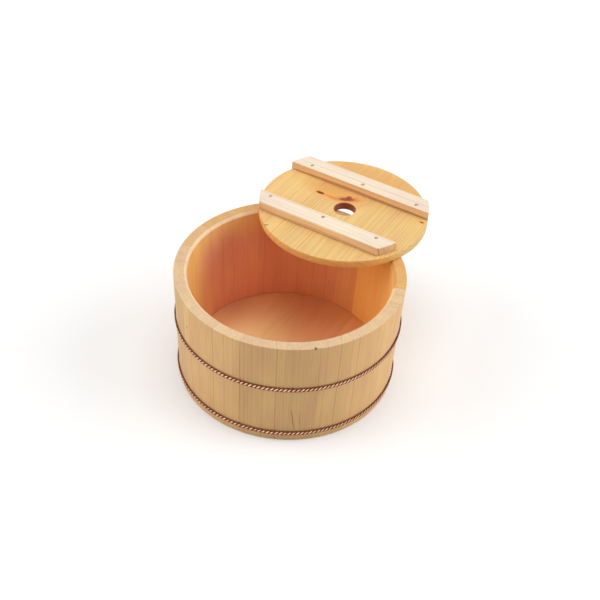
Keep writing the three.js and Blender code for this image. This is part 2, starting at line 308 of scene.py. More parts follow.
def lay_floor():
    """A flat sheet at the height that the tub stands on."""
    mesh = bpy.data.meshes.new("floor")
    span = FLOOR_HALF * np.array([[-1, -1, 0], [1, -1, 0], [1, 1, 0], [-1, 1, 0]])
    mesh.from_pydata(span.tolist(), [], [(0, 1, 2, 3)])
    floor = bpy.data.objects.new("floor", mesh)
    material, graph = new_material("white floor")
    matt = graph.node("ShaderNodeBsdfDiffuse", {"Color": FLOOR_COLOUR})
    lift = graph.math("MULTIPLY", seen_directly(graph), FLOOR_LIFT)
    glow = graph.node("ShaderNodeEmission", {"Color": WHITE, "Strength": lift})
    both = graph.node("ShaderNodeAddShader", {0: matt.outputs[0], 1: glow.outputs[0]})
    graph.node("ShaderNodeOutputMaterial", {"Surface": both.outputs[0]})
    mesh.materials.append(material)
    bpy.context.scene.collection.objects.link(floor)


lay_floor()
print("floor", 2 * FLOOR_HALF, "m wide")

# %% [markdown]
# ## Suns
# The fill alone gives no shape. Spots would give it, with a pool of light round the tub. Suns light a
# floor evenly right to the horizon, so one broad sun stands overhead and one at each side of the camera.

# %% Hang the suns
SUN_WIDTH = math.radians(50)
SUNS = {
    # turn from the camera's right and elevation in degrees, light on a sheet that faces it
    "overhead sun": (90, 90, 0.38),
    "left sun": (180, 30, 0.38),
    "right sun": (0, 30, 0.46),
}


def hang_sun(name, turn, elevation, light):
    """A sun at a turn from the camera's right hand. A white sheet facing light 1 renders just white."""
    data = bpy.data.lights.new(name, "SUN")
    data.energy = math.pi * light
    data.angle = SUN_WIDTH
    sun = bpy.data.objects.new(name, data)
    angle = VIEW_AZIMUTH + math.radians(turn)
    level = math.cos(math.radians(elevation))
    towards = Vector((level * math.cos(angle), level * math.sin(angle), math.sin(math.radians(elevation))))
    sun.rotation_euler = towards.to_track_quat("Z", "Y").to_euler()
    bpy.context.scene.collection.objects.link(sun)


for sun_name, sun_place in SUNS.items():
    hang_sun(sun_name, *sun_place)
print("lit by the world and", len(SUNS), "suns")

# %% [markdown]
# ## Year rings
# Wood looks like wood because every board is a slice of a log. Stripes drawn on each face would be
# quicker, but face and end would not agree. So each board carries, as an attribute on its points, where in
# its log it was cut: the pith is the attribute's Z axis. This group turns that into year rings, which then
# show as lines on a face and as arcs on an end, as they do on real boards.

# %% Year rings as a node group
# Each noise: the share of a metre that counts along the log, and how often a metre it changes across it
WANDER_NOISE = (0.12, 16)
FIBRE_NOISE = (0.025, 900)
CLOUD_NOISE = (0.25, 45)
SPECKLE_SCALE = 330
FINE_DETAIL = 3
# Years of uneven growth: how often a year it changes, and by how many years
UNEVEN_RATE = 0.3
UNEVEN_YEARS = 2.0
# Parts of a year at which late wood is nil and whole: as it darkens slowly, and as it drops off at the end
LATE_RISE = (0.2, 0.88)
LATE_DROP = (1.0, 0.92)
WEAK_YEAR = 0.25
STRONG_YEAR_GAIN = 0.8


def start_group(name, inputs, outputs):
    """A new shader node group with named sockets, its graph, its input sockets and its output node."""
    tree = bpy.data.node_groups.new(name, "ShaderNodeTree")
    for socket, kind in inputs.items():
        tree.interface.new_socket(socket, in_out="INPUT", socket_type=f"NodeSocket{kind}")
    for socket in outputs:
        tree.interface.new_socket(socket, in_out="OUTPUT", socket_type="NodeSocketFloat")
    graph = Graph(tree)
    return tree, graph, graph.node("NodeGroupInput").outputs, graph.node("NodeGroupOutput")


def make_year_rings():
    """Distance from the pith, bent by slow noise, in years. In each year the wood darkens slowly and ends
    in a sharp line, and some years are darker than others. Fibre is noise drawn out along the log."""
    inputs = {"Log": "Vector", "Ring width": "Float", "Wander": "Float", "Bend": "Float"}
    outputs = ("Late wood", "Fibre", "Cloud", "Speckle")
    tree, graph, given, result = start_group("year rings", inputs, outputs)
    log = given["Log"]

    def along_log(run, scale, detail=2.0):
        """Noise that is drawn out along the log, where only a share of each metre counts."""
        return graph.noise(graph.stretch(log, (1, 1, run)), scale, detail)

    from_pith = graph.length(graph.stretch(log, (1, 1, 0)))
    slow = graph.math("SUBTRACT", along_log(*WANDER_NOISE), 0.5)
    bent = graph.math("ADD", graph.math("MULTIPLY_ADD", slow, given["Wander"], from_pith), given["Bend"])
    years = graph.math("DIVIDE", bent, given["Ring width"])
    growth = graph.node("ShaderNodeTexNoise", {"W": years, "Scale": UNEVEN_RATE}, noise_dimensions="1D")
    years = graph.math("MULTIPLY_ADD", growth.outputs["Fac"], UNEVEN_YEARS, years)
    season = graph.math("FRACT", years)
    year = graph.math("FLOOR", years)
    vigour = graph.node("ShaderNodeTexWhiteNoise", {"W": year}, noise_dimensions="1D").outputs["Value"]
    darkening = graph.math("MULTIPLY", graph.step(season, *LATE_RISE), graph.step(season, *LATE_DROP))
    squared = graph.math("MULTIPLY", vigour, vigour)
    strength = graph.math("MULTIPLY_ADD", squared, STRONG_YEAR_GAIN, WEAK_YEAR)
    graph.put(result.inputs["Late wood"], graph.math("MULTIPLY", darkening, strength))
    graph.put(result.inputs["Fibre"], along_log(*FIBRE_NOISE, FINE_DETAIL))
    graph.put(result.inputs["Cloud"], along_log(*CLOUD_NOISE, FINE_DETAIL))
    graph.put(result.inputs["Speckle"], graph.noise(log, SPECKLE_SCALE, FINE_DETAIL))
    return tree


year_rings = make_year_rings()
print("node group:", year_rings.name, [item.name for item in year_rings.interface.items_tree])

# %% [markdown]
# ## Knots and streaks
# A knot is a branch cut across. Its core is dark, a halo of resin colours the wood round it, and the year
# rings part to go past it. A painted spot would lack that flow. The group takes a vector that a Mapping
# node has centred, turned and stretched, so that the knot's edge is at length 1. A long thin one makes a
# pitch streak, and a wide soft one makes a stain. Wide soft ones also paint a pool of light and a band of
# shade on the tub's floor, and small dark ones paint the shade in a chip and a nick.

# %% Knots as a node group
RAGGED_SCALE = 2.5
RAGGED_REACH = 0.7
CORE_EDGE = (1.05, 0.55)
HALO_EDGE = (3.0, 0.6)
SWELL_FALL = 0.25


def make_knot():
    """Distance from the knot's middle, made ragged by noise. The core fills it to length 1, the halo fades
    out by length 3, and the swell is a smooth bump that pushes year rings aside."""
    tree, graph, given, result = start_group("knot", {"Around": "Vector"}, ("Core", "Halo", "Swell"))
    around = given["Around"]
    noise = graph.noise(around, RAGGED_SCALE, FINE_DETAIL)
    ragged = graph.math("MULTIPLY_ADD", noise, RAGGED_REACH, -RAGGED_REACH / 2)
    length = graph.length(around)
    reach = graph.math("ADD", length, ragged)
    graph.put(result.inputs["Core"], graph.step(reach, *CORE_EDGE))
    graph.put(result.inputs["Halo"], graph.step(reach, *HALO_EDGE))
    fall = graph.math("MULTIPLY", graph.math("MULTIPLY", length, length), -SWELL_FALL)
    graph.put(result.inputs["Swell"], graph.math("EXPONENT", fall))
    return tree


knot_group = make_knot()


def place_knot(graph, middle, size, turn=0, slant=0):
    """A knot on a piece: its middle and half sizes in metres, its turn about Z in degrees, and its slant
    about X, which comes before the turn. Returns its masks."""
    angles = (math.radians(slant), 0, math.radians(turn))
    inputs = {"Vector": graph.place(), "Location": middle, "Rotation": angles, "Scale": size}
    centred = graph.node("ShaderNodeMapping", inputs, vector_type="TEXTURE").outputs[0]
    return graph.group(knot_group, {"Around": centred})


print("node group:", knot_group.name, [item.name for item in knot_group.interface.items_tree])

# %% [markdown]
# ## Bare wood
# All the boards are planed softwood with no varnish. Each could have a finish of its own, but they differ
# only in their colours, so one function draws them: early and late wood from the year rings, other colours
# on some of a board's faces, a tone for each board, and a fine ribbed surface that scatters what little
# shine there is.

# %% Bare wood
RIB_HEIGHT = 0.25 * MM
RIB_STRENGTH = 0.5
RIB_DULLING = 0.12
LATE_RIB = 0.5
WOOD_ROUGHNESS = 0.47
WOOD_SHINE = 0.3
FIBRE_SHADE = 0.13
CLOUD_SHADE = 0.2
CLOUD_HUE = 0.03
TONE_SHADE = 0.1
SPECKLE_SHADE = 0.3
SAME_HUE = 0.5


def bare_wood(graph, colours, ring_width, wander, faces=(), bend=0.0):
    """The colour of a planed board from a pair of colours, early wood and late wood, and the height of its
    fine ribs. faces lists masks of the board's other faces, each with a pair of its own. Later ones go
    over earlier ones. Tone, fibre, cloud and the speckle of a cut end make it lighter or darker."""
    inputs = {"Log": graph.vector("log"), "Ring width": ring_width, "Wander": wander, "Bend": bend}
    rings = graph.group(year_rings, inputs)
    early, late = colours
    for mask, pair in faces:
        early = graph.blend(mask, early, pair[0])
        late = graph.blend(mask, late, pair[1])
    colour = graph.blend(rings["Late wood"], early, late)
    value = graph.math("MULTIPLY_ADD", graph.mask("tone"), TONE_SHADE, 1 - (FIBRE_SHADE + CLOUD_SHADE) / 2)
    value = graph.math("MULTIPLY_ADD", rings["Fibre"], FIBRE_SHADE, value)
    value = graph.math("MULTIPLY_ADD", rings["Cloud"], CLOUD_SHADE, value)
    speckle = graph.math("MULTIPLY_ADD", rings["Speckle"], SPECKLE_SHADE, -SPECKLE_SHADE / 2)
    value = graph.math("MULTIPLY_ADD", speckle, graph.mask("cut_end"), value)
    hue = graph.math("MULTIPLY_ADD", rings["Cloud"], CLOUD_HUE, SAME_HUE - CLOUD_HUE / 2)
    shade = graph.node("ShaderNodeHueSaturation", {"Hue": hue, "Value": value, "Color": colour})
    return shade.outputs[0], graph.math("MULTIPLY_ADD", rings["Late wood"], LATE_RIB, rings["Fibre"])


def planed_surface(graph, colour, height, roughness=WOOD_ROUGHNESS):
    """The shader of a planed board, with ribs raised by the height."""
    ribs = graph.node("ShaderNodeBump", {"Height": height, "Strength": RIB_STRENGTH, "Distance": RIB_HEIGHT})
    dull = graph.math("MULTIPLY_ADD", height, RIB_DULLING, roughness)
    looks = {"Base Color": colour, "Roughness": dull, "Specular IOR Level": WOOD_SHINE}
    graph.surface({**looks, "Normal": ribs.outputs[0]})


print("bare wood with ribs up to", RIB_HEIGHT / MM, "mm high")

# %% [markdown]
# ## The tub's section
# A stave's section is the same all round the tub: an outer and an inner wall that lean out a little, an
# eased foot, a rim with a bevel inside the mouth, and the croze, the groove that holds the bottom. The
# frame gives the flats of rim and foot, and the bottom boards give the croze. A bevel modifier could round
# the corners, but it rounds the seams just as much. So each corner is rounded here in the outline, by its
# own amount.

# %% The stave's section
RIM_EASE = 1.0 * MM
MOUTH_BEVEL = 3.5 * MM
FOOT_EASE = 1.0 * MM
CRISP_EASE = 0.3 * MM
CROZE_GAP = 0.3 * MM
CORNER_STEPS = 5
FLAT_TOLERANCE = 0.05 * MM


def flat_span(node, height):
    """The inner and outer radius of a stave's flat rim or foot, at that height."""
    corners = corners_of(node)
    flat = np.abs(corners[:, 2] - height) < FLAT_TOLERANCE
    radius = np.hypot(*(corners[flat, :2] - tub_axis).T)
    return radius.min(), radius.max()


rim_inner, rim_outer = flat_span(STAVES[0], tub_height)
foot_inner, foot_outer = flat_span(STAVES[0], 0)


def outer_radius(height):
    """The outer wall is a straight line from foot to rim."""
    return np.interp(height, (0, tub_height), (foot_outer + FOOT_EASE, rim_outer + RIM_EASE))


def inner_radius(height):
    """The inner wall is a straight line from foot to mouth."""
    return np.interp(height, (0, tub_height), (foot_inner - FOOT_EASE, rim_inner - MOUTH_BEVEL))


def rounded(corners):
    """A closed outline with its corners rounded. A corner is x, y and how far from it the round starts,
    and each round is a parabola that leaves one side there and joins the other as far away."""
    corners = np.array(corners, dtype=float)
    points, starts = corners[:, :2], corners[:, 2, None, None]
    to_last = np.roll(points, 1, axis=0) - points
    to_next = np.roll(points, -1, axis=0) - points
    to_last /= np.linalg.norm(to_last, axis=1, keepdims=True)
    to_next /= np.linalg.norm(to_next, axis=1, keepdims=True)
    along = np.linspace(0, 1, CORNER_STEPS)[None, :, None]
    curve = points[:, None] + starts * ((1 - along) ** 2 * to_last[:, None] + along**2 * to_next[:, None])
    return curve.reshape(-1, 2)


def stave_section():
    """The stave's outline as radius and height, anticlockwise from the inside of the foot."""
    low = floor_low[2] - CROZE_GAP
    high = floor_high[2] + CROZE_GAP
    groove = floor_radius + CROZE_GAP
    return rounded([
        (inner_radius(0), 0, FOOT_EASE),
        (outer_radius(0), 0, FOOT_EASE),
        (outer_radius(tub_height), tub_height, RIM_EASE),
        (rim_inner, tub_height, CRISP_EASE),
        (inner_radius(tub_height - MOUTH_BEVEL), tub_height - MOUTH_BEVEL, CRISP_EASE),
        (inner_radius(high), high, CRISP_EASE),
        (groove, high, CRISP_EASE),
        (groove, low, CRISP_EASE),
        (inner_radius(low), low, CRISP_EASE),
    ])


section = stave_section()
print("stave section:", len(section), "points")
print("flat rim from", round(rim_inner / MM, 1), "to", round(rim_outer / MM, 1), "mm")

# %% [markdown]
# ## From rings of points to a solid
# Every new piece is rings of points, each ring joined to the next by quads: a section carried round an
# arc, an outline sunk from top to bottom, a circle carried along a wire. A run of rings gets its first and
# last ring as lids. An endless run, such as a hoop, joins its last ring to its first. Modelling each piece
# by hand would be slower to change, and one function serves them all.

# %% Solids from rings
SHARP_EDGE = math.radians(40)
EASE_STEPS = 4


def ring_faces(rings, points, endless):
    """Quads between neighbouring rings of a closed outline, and lids on the ends of an open run. Rings run
    away from the first lid's outer side, and points run anticlockwise as seen from there."""
    ring, point = np.meshgrid(np.arange(rings if endless else rings - 1), np.arange(points), indexing="ij")
    next_ring, next_point = (ring + 1) % rings, (point + 1) % points
    corners = [(ring, point), (next_ring, point), (next_ring, next_point), (ring, next_point)]
    quads = np.stack([(r * points + p).ravel() for r, p in corners], axis=1).tolist()
    if endless:
        return quads
    last = (rings - 1) * points
    return quads + [list(range(points)), list(range(last + points - 1, last - 1, -1))]


def mesh_of(name, rings, endless=False):
    """A mesh from an array of rings by points by x, y, z."""
    mesh = bpy.data.meshes.new(name)
    faces = ring_faces(rings.shape[0], rings.shape[1], endless)
    mesh.from_pydata(rings.reshape(-1, 3).tolist(), [], faces)
    mesh.update()
    return mesh


def quarter_round():
    """The steps of a quarter round from the flat face to the side: 1 less the sine of each step's angle,
    which says how far inwards it is, and 1 less the cosine, which says how far down."""
    turn = np.radians(np.linspace(0, 90, EASE_STEPS))
    return 1 - np.sin(turn), 1 - np.cos(turn)


def note(mesh, name, values, domain="POINT"):
    """Keeps a number or a vector for each point or face of a mesh, for the finish to read."""
    values = np.asarray(values, dtype=np.float32)
    kind, field = ("FLOAT_VECTOR", "vector") if values.ndim == 2 else ("FLOAT", "value")
    mesh.attributes.new(name, kind, domain).data.foreach_set(field, values.ravel())


def set_piece(node, mesh, material):
    """Shows the mesh in place of a node of the frame: same body, same material slot."""
    mesh.polygons.foreach_set("use_smooth", np.ones(len(mesh.polygons), dtype=bool))
    mesh.set_sharp_from_angle(angle=SHARP_EDGE)
    mesh.materials.append(material)
    piece = bpy.data.objects.new(f"{node}_finished", mesh)
    bpy.context.scene.collection.objects.link(piece)
    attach(piece, nodes[node]["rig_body"])
    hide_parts(node)
    return piece


# %% [markdown]
# ## Cutting a board from its log
# A board's place in its log decides its figure. Beside the pith the rings stand on edge and give fine
# straight lines. Above it they lie flat and give flames. One log for all would make the boards look alike,
# so each gets a pith somewhere beside or below it, a slight lean, and its own stretch of the log, from
# seeded random numbers.

# %% Boards from logs
rng = np.random.default_rng(12)
RIGHT, BACK, UP = np.eye(3)
LOG_LEAN = 0.008
LOG_LENGTH = 5
CUT_END_SLOPE = (0.25, 0.65)


def pith_at(aside, behind):
    """A pith in two ranges of millimetres: aside from the board, and behind the face that shows."""
    return rng.uniform(*aside) * MM, rng.uniform(*behind) * MM


def cut_from_log(mesh, middle, across, out, along, pith, tone):
    """Notes on a board's mesh where in its log each point was: across and out from the pith, and along it.
    The board leans a little in its log, and lies at its own place along it. Also notes the board's tone,
    and which of its faces cut across the grain."""
    offset = rows_of(mesh.vertices, "co") - middle
    lean = rng.normal(0, LOG_LEAN, 2)
    far = offset @ along
    sideways = offset @ across + pith[0] + lean[0] * far
    outwards = offset @ out + pith[1] + lean[1] * far
    note(mesh, "log", np.stack([sideways, outwards, far + rng.uniform(0, LOG_LENGTH)], axis=1))
    note(mesh, "tone", np.broadcast_to(tone, len(mesh.polygons)), "FACE")
    slope = np.abs(rows_of(mesh.polygons, "normal") @ along)
    note(mesh, "cut_end", np.interp(slope, CUT_END_SLOPE, (0, 1)), "FACE")


print("logs are drawn from", rng.bit_generator.__class__.__name__)

# %% [markdown]
# ## The staves' wood
# The wall has 19 staves of one wood. It is paler inside the tub, red where it is heartwood, and golden or
# nearly white on the rim. The red inside is also painted shade at the back, and it fades near the rim as
# painted light. The pale bevel on the rim is a painted highlight. Five marks are on it: a pin knot, two
# pitch streaks, a chip painted as the shade in its notch, and a dark seam. A material for each stave could
# hold all that. One material that reads masks from the mesh is enough, and keeps the staves alike.

# %% The staves' wood
STAVE_PAIR = (shown(225, 181, 124), shown(204, 153, 95))
INSIDE_PAIR = (shown(250, 205, 125), shown(240, 185, 103))
# Red heartwood inside, which also serves as painted shade at the back of the tub
HEART_AND_SHADE_PAIR = (shown(244, 172, 145), shown(234, 151, 123))
RIM_PAIR = (shown(221, 189, 149), shown(207, 173, 131))
GOLD_PAIR = (shown(214, 164, 100), shown(204, 150, 88))
# Painted highlight: the bevel inside the rim is paler where light catches it
BEVEL_HIGHLIGHT_PAIR = (shown(244, 214, 174), shown(236, 202, 160))
MARK_BROWN = shown(112, 62, 30)
STAVE_YEAR = 3 * MM
STAVE_WANDER = 8 * MM
# Painted light on the wall's top: red fades from the first depth below the rim to the second, by this share
LIT_TOP_BAND = (45 * MM, 6 * MM)
LIT_TOP_SHARE = 0.75
WALL_MARKS = (
    # azimuth, height, half width and half height in mm, slant, how strong
    # In turn: a pin knot, two pitch streaks, a chip in the rim painted as the shade in its notch, and a dark
    # seam
    (-117.8, 127, 1.6, 3.0, 0, 0.5),
    (-55.35, 38, 0.9, 24, 7.4, 0.65),
    (-51.8, 36, 0.7, 18, 5.1, 0.35),
    # Painted shade: a dark spot for the notch of a chip in the rim
    (-46.8, 163, 2.2, 2.2, 45, 0.85),
    (-82.2, 80, 0.9, 110, 0, 0.2),
)
MARK_DEPTH = 4 * MM


def on_wall(azimuth, height):
    """The point of the tub's outer wall at an azimuth in degrees about the tub's axis, and at a height."""
    angle = math.radians(azimuth)
    radius = outer_radius(height)
    return (tub_axis[0] + radius * math.cos(angle), tub_axis[1] + radius * math.sin(angle), height)


def stave_finish():
    """Bare wood with other colours inside, on the rim and on its bevel, and the wall's marks over it. The
    red inside fades near the rim as painted light, and the bevel's pale colour is a painted highlight.
    """
    material, graph = new_material("stave wood")
    level = graph.node("ShaderNodeSeparateXYZ", {0: graph.place()}).outputs["Z"]
    # Painted light: the red inside fades towards the rim, where light falls on the top of the wall
    lit_top = graph.step(level, *(tub_height - depth for depth in LIT_TOP_BAND))
    kept = graph.math("MULTIPLY_ADD", lit_top, -LIT_TOP_SHARE, 1.0)
    faces = (
        (graph.mask("inside"), INSIDE_PAIR),
        # Red heartwood, which is also painted shade at the back
        (graph.math("MULTIPLY", graph.mask("heart"), kept), HEART_AND_SHADE_PAIR),
        (graph.mask("cut_end"), RIM_PAIR),
        (graph.mask("gold"), GOLD_PAIR),
        # Painted highlight along the rim's inner bevel
        (graph.mask("bevel"), BEVEL_HIGHLIGHT_PAIR),
    )
    colour, height = bare_wood(graph, STAVE_PAIR, STAVE_YEAR, STAVE_WANDER, faces)
    for azimuth, up, wide, tall, slant, strength in WALL_MARKS:
        size = (MARK_DEPTH, wide * MM, tall * MM)
        mark = place_knot(graph, on_wall(azimuth, up * MM), size, azimuth, slant)
        colour = graph.stain(colour, mark["Core"], strength, MARK_BROWN)
    planed_surface(graph, colour, height)
    return material


stave_wood = stave_finish()
print(stave_wood.name, "has", len(WALL_MARKS), "marks")

# %% [markdown]
# ## From seam to seam
# Staves meet in seams that are planed to fit and still show as fine lines. A dark line could be drawn
# there. Here the section is carried round the tub's axis instead, and at both seams it shrinks by a hair
# in a quarter round, so that the line is a real groove and light and shade do the rest.

# %% Shape a stave
SEAM_CLOSING = 0.12 * MM
SEAM_EASE = 0.18 * MM
RING_STEP = math.radians(1.2)


def seam_angles(node):
    """The azimuths at which a stave starts and ends about the tub's axis."""
    offset = corners_of(node)[:, :2] - tub_axis
    middle = math.atan2(*offset.mean(axis=0)[::-1])
    turned = np.arctan2(offset[:, 1], offset[:, 0]) - middle
    turned = (turned + np.pi) % (2 * np.pi) - np.pi
    closing = SEAM_CLOSING / rim_outer
    return middle + turned.min() - closing, middle + turned.max() + closing


def inset_section(depth):
    """The section moved inwards by a small depth, along the normal at each point."""
    ahead = np.roll(section, -1, axis=0) - np.roll(section, 1, axis=0)
    inward = np.stack([-ahead[:, 1], ahead[:, 0]], axis=1) / np.linalg.norm(ahead, axis=1, keepdims=True)
    return section + depth * inward


def stave_rings(start, end):
    """The section at each angle from start to end, shrunk in a quarter round at both seams."""
    inwards, along = quarter_round()
    ease = SEAM_EASE / rim_outer
    near_start = start + ease * along
    near_end = (end - ease * along)[::-1]
    inner = np.linspace(near_start[-1], end - ease, 2 + round((end - start) / RING_STEP))[1:-1]
    angles = np.concatenate([near_start, inner, near_end])
    depths = SEAM_EASE * np.concatenate([inwards, np.zeros(len(inner)), inwards[::-1]])
    outlines = np.stack([inset_section(depth) for depth in depths])
    radius, height = outlines[..., 0], outlines[..., 1]
    x = tub_axis[0] + radius * np.cos(angles)[:, None]
    y = tub_axis[1] + radius * np.sin(angles)[:, None]
    return np.stack([x, y, height], axis=-1)


first_seams = np.degrees(seam_angles(STAVES[0])).round(2)
print(STAVES[0], "goes from and to", first_seams, "degrees")

# %% [markdown]
# ## One stave after another
# The staves are planed flush, so what tells them apart is mostly their tone, and how much of each is red
# heartwood or golden sapwood. Some of it is painted: the front staves' darker tone is painted shade, the
# first two staves' lighter tone is painted light, the red inside is partly painted shade, and the pale bevel
# on the rim is a painted highlight. Random numbers could give every stave its own, but would not put them
# where the real ones are. So a table gives them in order, round from the first stave.

# %% Make the staves
STAVE_LOOKS = (
    # tone, red heartwood and painted shade inside from the first seam to the second, golden wood, and the
    # pale bevel's painted highlight on the rim
    # Rows 1 and 2 are lighter as painted light, and rows 14 to 16 darker as painted shade on the tub's front
    (1.9, 0.00, 0.00, 1.0, 0.0),
    (1.9, 0.00, 0.10, 0.9, 0.2),
    (0.1, 0.45, 0.70, 0.8, 0.4),
    (-0.3, 0.75, 0.90, 0.5, 0.8),
    (-0.5, 0.95, 1.00, 0.5, 0.9),
    (-0.4, 1.00, 1.00, 0.5, 0.9),
    (0.1, 1.00, 1.00, 0.8, 0.9),
    (-0.3, 1.00, 0.95, 0.8, 0.9),
    (-0.4, 0.85, 0.00, 0.5, 1.0),
    (-0.5, 0.05, 0.05, 0.1, 1.0),
    (-0.7, 0.05, 0.05, 0.0, 1.0),
    (0.3, 0.10, 0.10, 0.0, 1.0),
    (0.1, 0.20, 0.20, 0.0, 1.0),
    (-0.7, 0.30, 0.30, 0.0, 1.0),
    (-1.2, 0.30, 0.30, 0.0, 1.0),
    (-0.6, 0.30, 0.30, 0.0, 1.0),
    (0.0, 0.30, 0.30, 0.0, 1.0),
    (0.5, 0.20, 0.20, 0.1, 1.0),
    (0.5, 0.10, 0.10, 0.2, 1.0),
)
STAVE_PITH = ((70, 130), (-30, 40))
RIM_TONE = 0.4
# A face's slope outwards or upwards, from -1 to 1, tells which part of a stave it is on
INSIDE_SLOPE = -0.8
RIM_SLOPE = 0.5
BEVEL_SLOPE = -0.5


def make_stave(node, tone, first_heart, second_heart, gold, bevel, material):
    """The section from seam to seam, with notes on which faces are inside, on the rim or on its bevel. Red
    heartwood, which also stands in as painted shade, goes in a straight line from its share at the first
    seam to its share at the second. The bevel's share is a painted highlight."""
    start, end = seam_angles(node)
    mesh = mesh_of(node, stave_rings(start, end))
    middle_angle = (start + end) / 2
    out = np.array([math.cos(middle_angle), math.sin(middle_angle), 0])
    across = np.array([-out[1], out[0], 0])
    axis = np.array([*tub_axis, 0])
    side = rng.choice((-1, 1))
    aside, behind = pith_at(*STAVE_PITH)
    normals = rows_of(mesh.polygons, "normal")
    inside = normals @ out < INSIDE_SLOPE
    rim = normals @ UP > RIM_SLOPE
    tones = np.where(rim, RIM_TONE * tone, tone)
    cut_from_log(mesh, axis + out * rim_outer, across, out, UP, (side * aside, behind), tones)
    offset = rows_of(mesh.polygons, "center") - axis
    turned = np.arctan2(offset @ across, offset @ out)
    heart = np.interp(turned, (start - middle_angle, end - middle_angle), (first_heart, second_heart))
    note(mesh, "inside", inside, "FACE")
    note(mesh, "heart", heart * inside, "FACE")
    note(mesh, "gold", gold * rim, "FACE")
    # The bevel's share paints a highlight, and it is smaller where the drain board shades the rim
    note(mesh, "bevel", bevel * (rim & (normals @ out < BEVEL_SLOPE)), "FACE")
    return set_piece(node, mesh, material)


staves = [make_stave(stave_node, *look, stave_wood) for stave_node, look in zip(STAVES, STAVE_LOOKS)]
print(len(staves), "staves of", len(staves[0].data.polygons), "faces or so")

# %% [markdown]
# ## Boards with a flat top
# Bottom boards, drain planks and battens are all flat boards with an outline. Scaling an outline down
# would ease its sides unevenly. So it is moved inwards side by side: every corner goes to where its two
# sides meet again once each has moved in by its own depth. A seam can then stay crisp while the round edge
# beside it is well rounded.

# %% Flat boards
ARC_STEP = math.radians(1.5)
# Two sides that turn by less than this count as one straight line
LEAST_TURN = 1e-6


def arc(radius, start, end):
    """Points on a circle about the origin, from one angle to another."""
    angles = np.linspace(start, end, 2 + int(abs(end - start) / ARC_STEP))
    return radius * np.stack([np.cos(angles), np.sin(angles)], axis=1)


def inset(outline, depths):
    """Moves each side of an outline in by its own depth. Side k joins point k to the next one. A point's
    move solves two equations: its part along the normal of each of its sides is that side's depth."""
    side = np.roll(outline, -1, axis=0) - outline
    normal = np.stack([-side[:, 1], side[:, 0]], axis=1) / np.linalg.norm(side, axis=1, keepdims=True)
    normals = np.stack([np.roll(normal, 1, axis=0), normal], axis=1)
    wanted = np.stack([np.roll(depths, 1), depths], axis=1)
    return outline + np.einsum("nij,nj->ni", np.linalg.pinv(normals, rcond=LEAST_TURN), wanted)


def board_rings(outline, low, high, eases, drops):
    """An outline sunk from the top face to the bottom face, with a quarter round at both edges. eases says
    how far each side moves in there, and drops how far the round reaches down at each point."""
    upper = []
    for inwards, down in zip(*quarter_round()):
        upper.append(np.column_stack([inset(outline, eases * inwards), high - drops * down]))
    lower = [np.column_stack([ring[:, :2], low + high - ring[:, 2]]) for ring in reversed(upper)]
    return np.stack(upper + lower)


print("flat boards: an outline and", 2 * EASE_STEPS, "rings")

# %% [markdown]
# ## Planks of a round board
# A round board is jointed from three planks, and its seams are two chords of one circle. A whole disc
# could be cut apart with booleans, but that leaves no room for an ease at the seams. So each plank gets an
# outline of its own: an arc, a seam, another arc and another seam, or just one arc and one seam for an
# outer plank. A seam has points of its own, so that its edge stays crisp right up to where the round edge
# starts.

# %% Planks
SEAM_CORNER = 2.0 * MM
SEAM_STEPS = 2
PLANK_CLOSING = 0.12 * MM
PLANK_SEAM_EASE = 0.2 * MM
# Which way a plank's left and right edge move to close its seams
CLOSING_WAYS = {"left": (0, 1), "middle": (-1, 1), "right": (-1, 0)}


def seam_points(x, radius, steps):
    """Points up a seam at x, from just inside the round edge to just inside it. None on the edge itself."""
    if abs(x) > radius - SEAM_CORNER:
        return np.empty((0, 2))
    half = math.sqrt(radius**2 - x**2) - SEAM_CORNER
    return np.column_stack([np.full(steps, x), np.linspace(-half, half, steps)])


def plank_outline(radius, left, right, round_ease, steps=SEAM_STEPS):
    """A plank of a round board between two chords, anticlockwise, with the ease of each side and point."""
    to_right = math.acos(min(right / radius, 1))
    to_left = math.acos(max(left / radius, -1))
    back = arc(radius, to_right, to_left)
    front = arc(radius, -to_left, -to_right)
    left_seam = seam_points(left, radius, steps)[::-1]
    right_seam = seam_points(right, radius, steps)
    if not len(left_seam):
        front = front[1:]
    if not len(right_seam):
        front = front[:-1]
    outline = np.concatenate([back, left_seam, front, right_seam])
    on_round = np.hypot(*outline.T) > radius - FLAT_TOLERANCE
    eases = np.where(on_round & np.roll(on_round, -1), round_ease, PLANK_SEAM_EASE)
    drops = np.where(on_round, round_ease, PLANK_SEAM_EASE)
    return outline, eases, drops


def plank_span(node, centre):
    """A plank's left and right edge from the board's centre, with its seams drawn nearly shut."""
    low, high = box_of(node)
    closing = CLOSING_WAYS[node.rsplit("_", 1)[1]]
    return (low[0], high[0]) - centre[0] + PLANK_CLOSING * np.array(closing)


def placed(rings, centre):
    """Rings drawn about the origin, moved to a board's centre."""
    return rings + np.array([*centre, 0])


for bottom_node in BOTTOM_BOARDS:
    print(bottom_node, "goes from and to", (plank_span(bottom_node, tub_axis) / MM).round(1), "mm")

# %% [markdown]
# ## Bottom boards
# Three boards fill the croze. Only their top shows, deep in the tub, where light that has already met the
# walls makes the wood look redder than it is. A pool of painted light lies on its left, and painted shade
# darkens it by the wall at the left back. Such patches could be painted on a picture of the floor. Two
# wide soft patches do as well and need no picture.

# %% Make the bottom boards
FLOOR_PAIR = (shown(241, 184, 132), shown(236, 172, 121))
# Painted light: a pale gold pool on the floor
FLOOR_LIGHT_POOL = shown(250, 216, 156)
